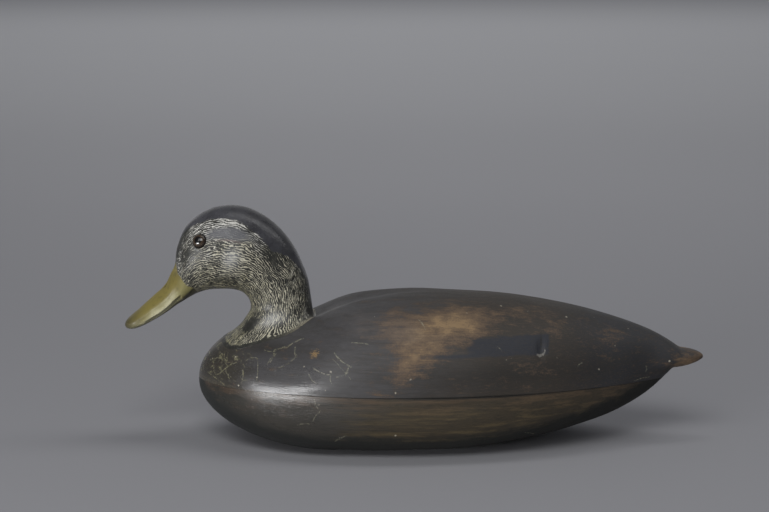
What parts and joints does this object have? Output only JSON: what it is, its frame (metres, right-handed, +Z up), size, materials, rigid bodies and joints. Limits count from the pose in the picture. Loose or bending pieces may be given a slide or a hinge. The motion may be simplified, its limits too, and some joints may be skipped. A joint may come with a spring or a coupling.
{
  "type": "black duck decoy",
  "caption": "Carved wooden black duck decoy: raised head with olive bill and glass button eyes, full rounded body glued at a level joint, short paddle tail and flat underside.",
  "frame": {"origin": "centre of the decoy's box in plan, on the plane of the flat underside it stands on", "axes": "+X from the bill to the tail, +Y to the duck's right side, +Z up"},
  "size_m": [0.4408, 0.1582, 0.1809],
  "materials": {
    "head_paint": "satin oil paint, light scratches over a dark ground, olive bill",
    "upper_body_paint": "satin black-brown oil paint, worn to bare wood on the back",
    "lower_body_paint": "satin brown oil paint, streaked along the grain",
    "eye_glass": "polished glass over a brown iris and a black pupil"
  },
  "bodies": {
    "root": {"head": "head_paint", "body_upper_half": "upper_body_paint", "body_lower_half": "lower_body_paint", "left_glass_eye": "eye_glass", "right_glass_eye": "eye_glass"}
  },
  "joints": []
}
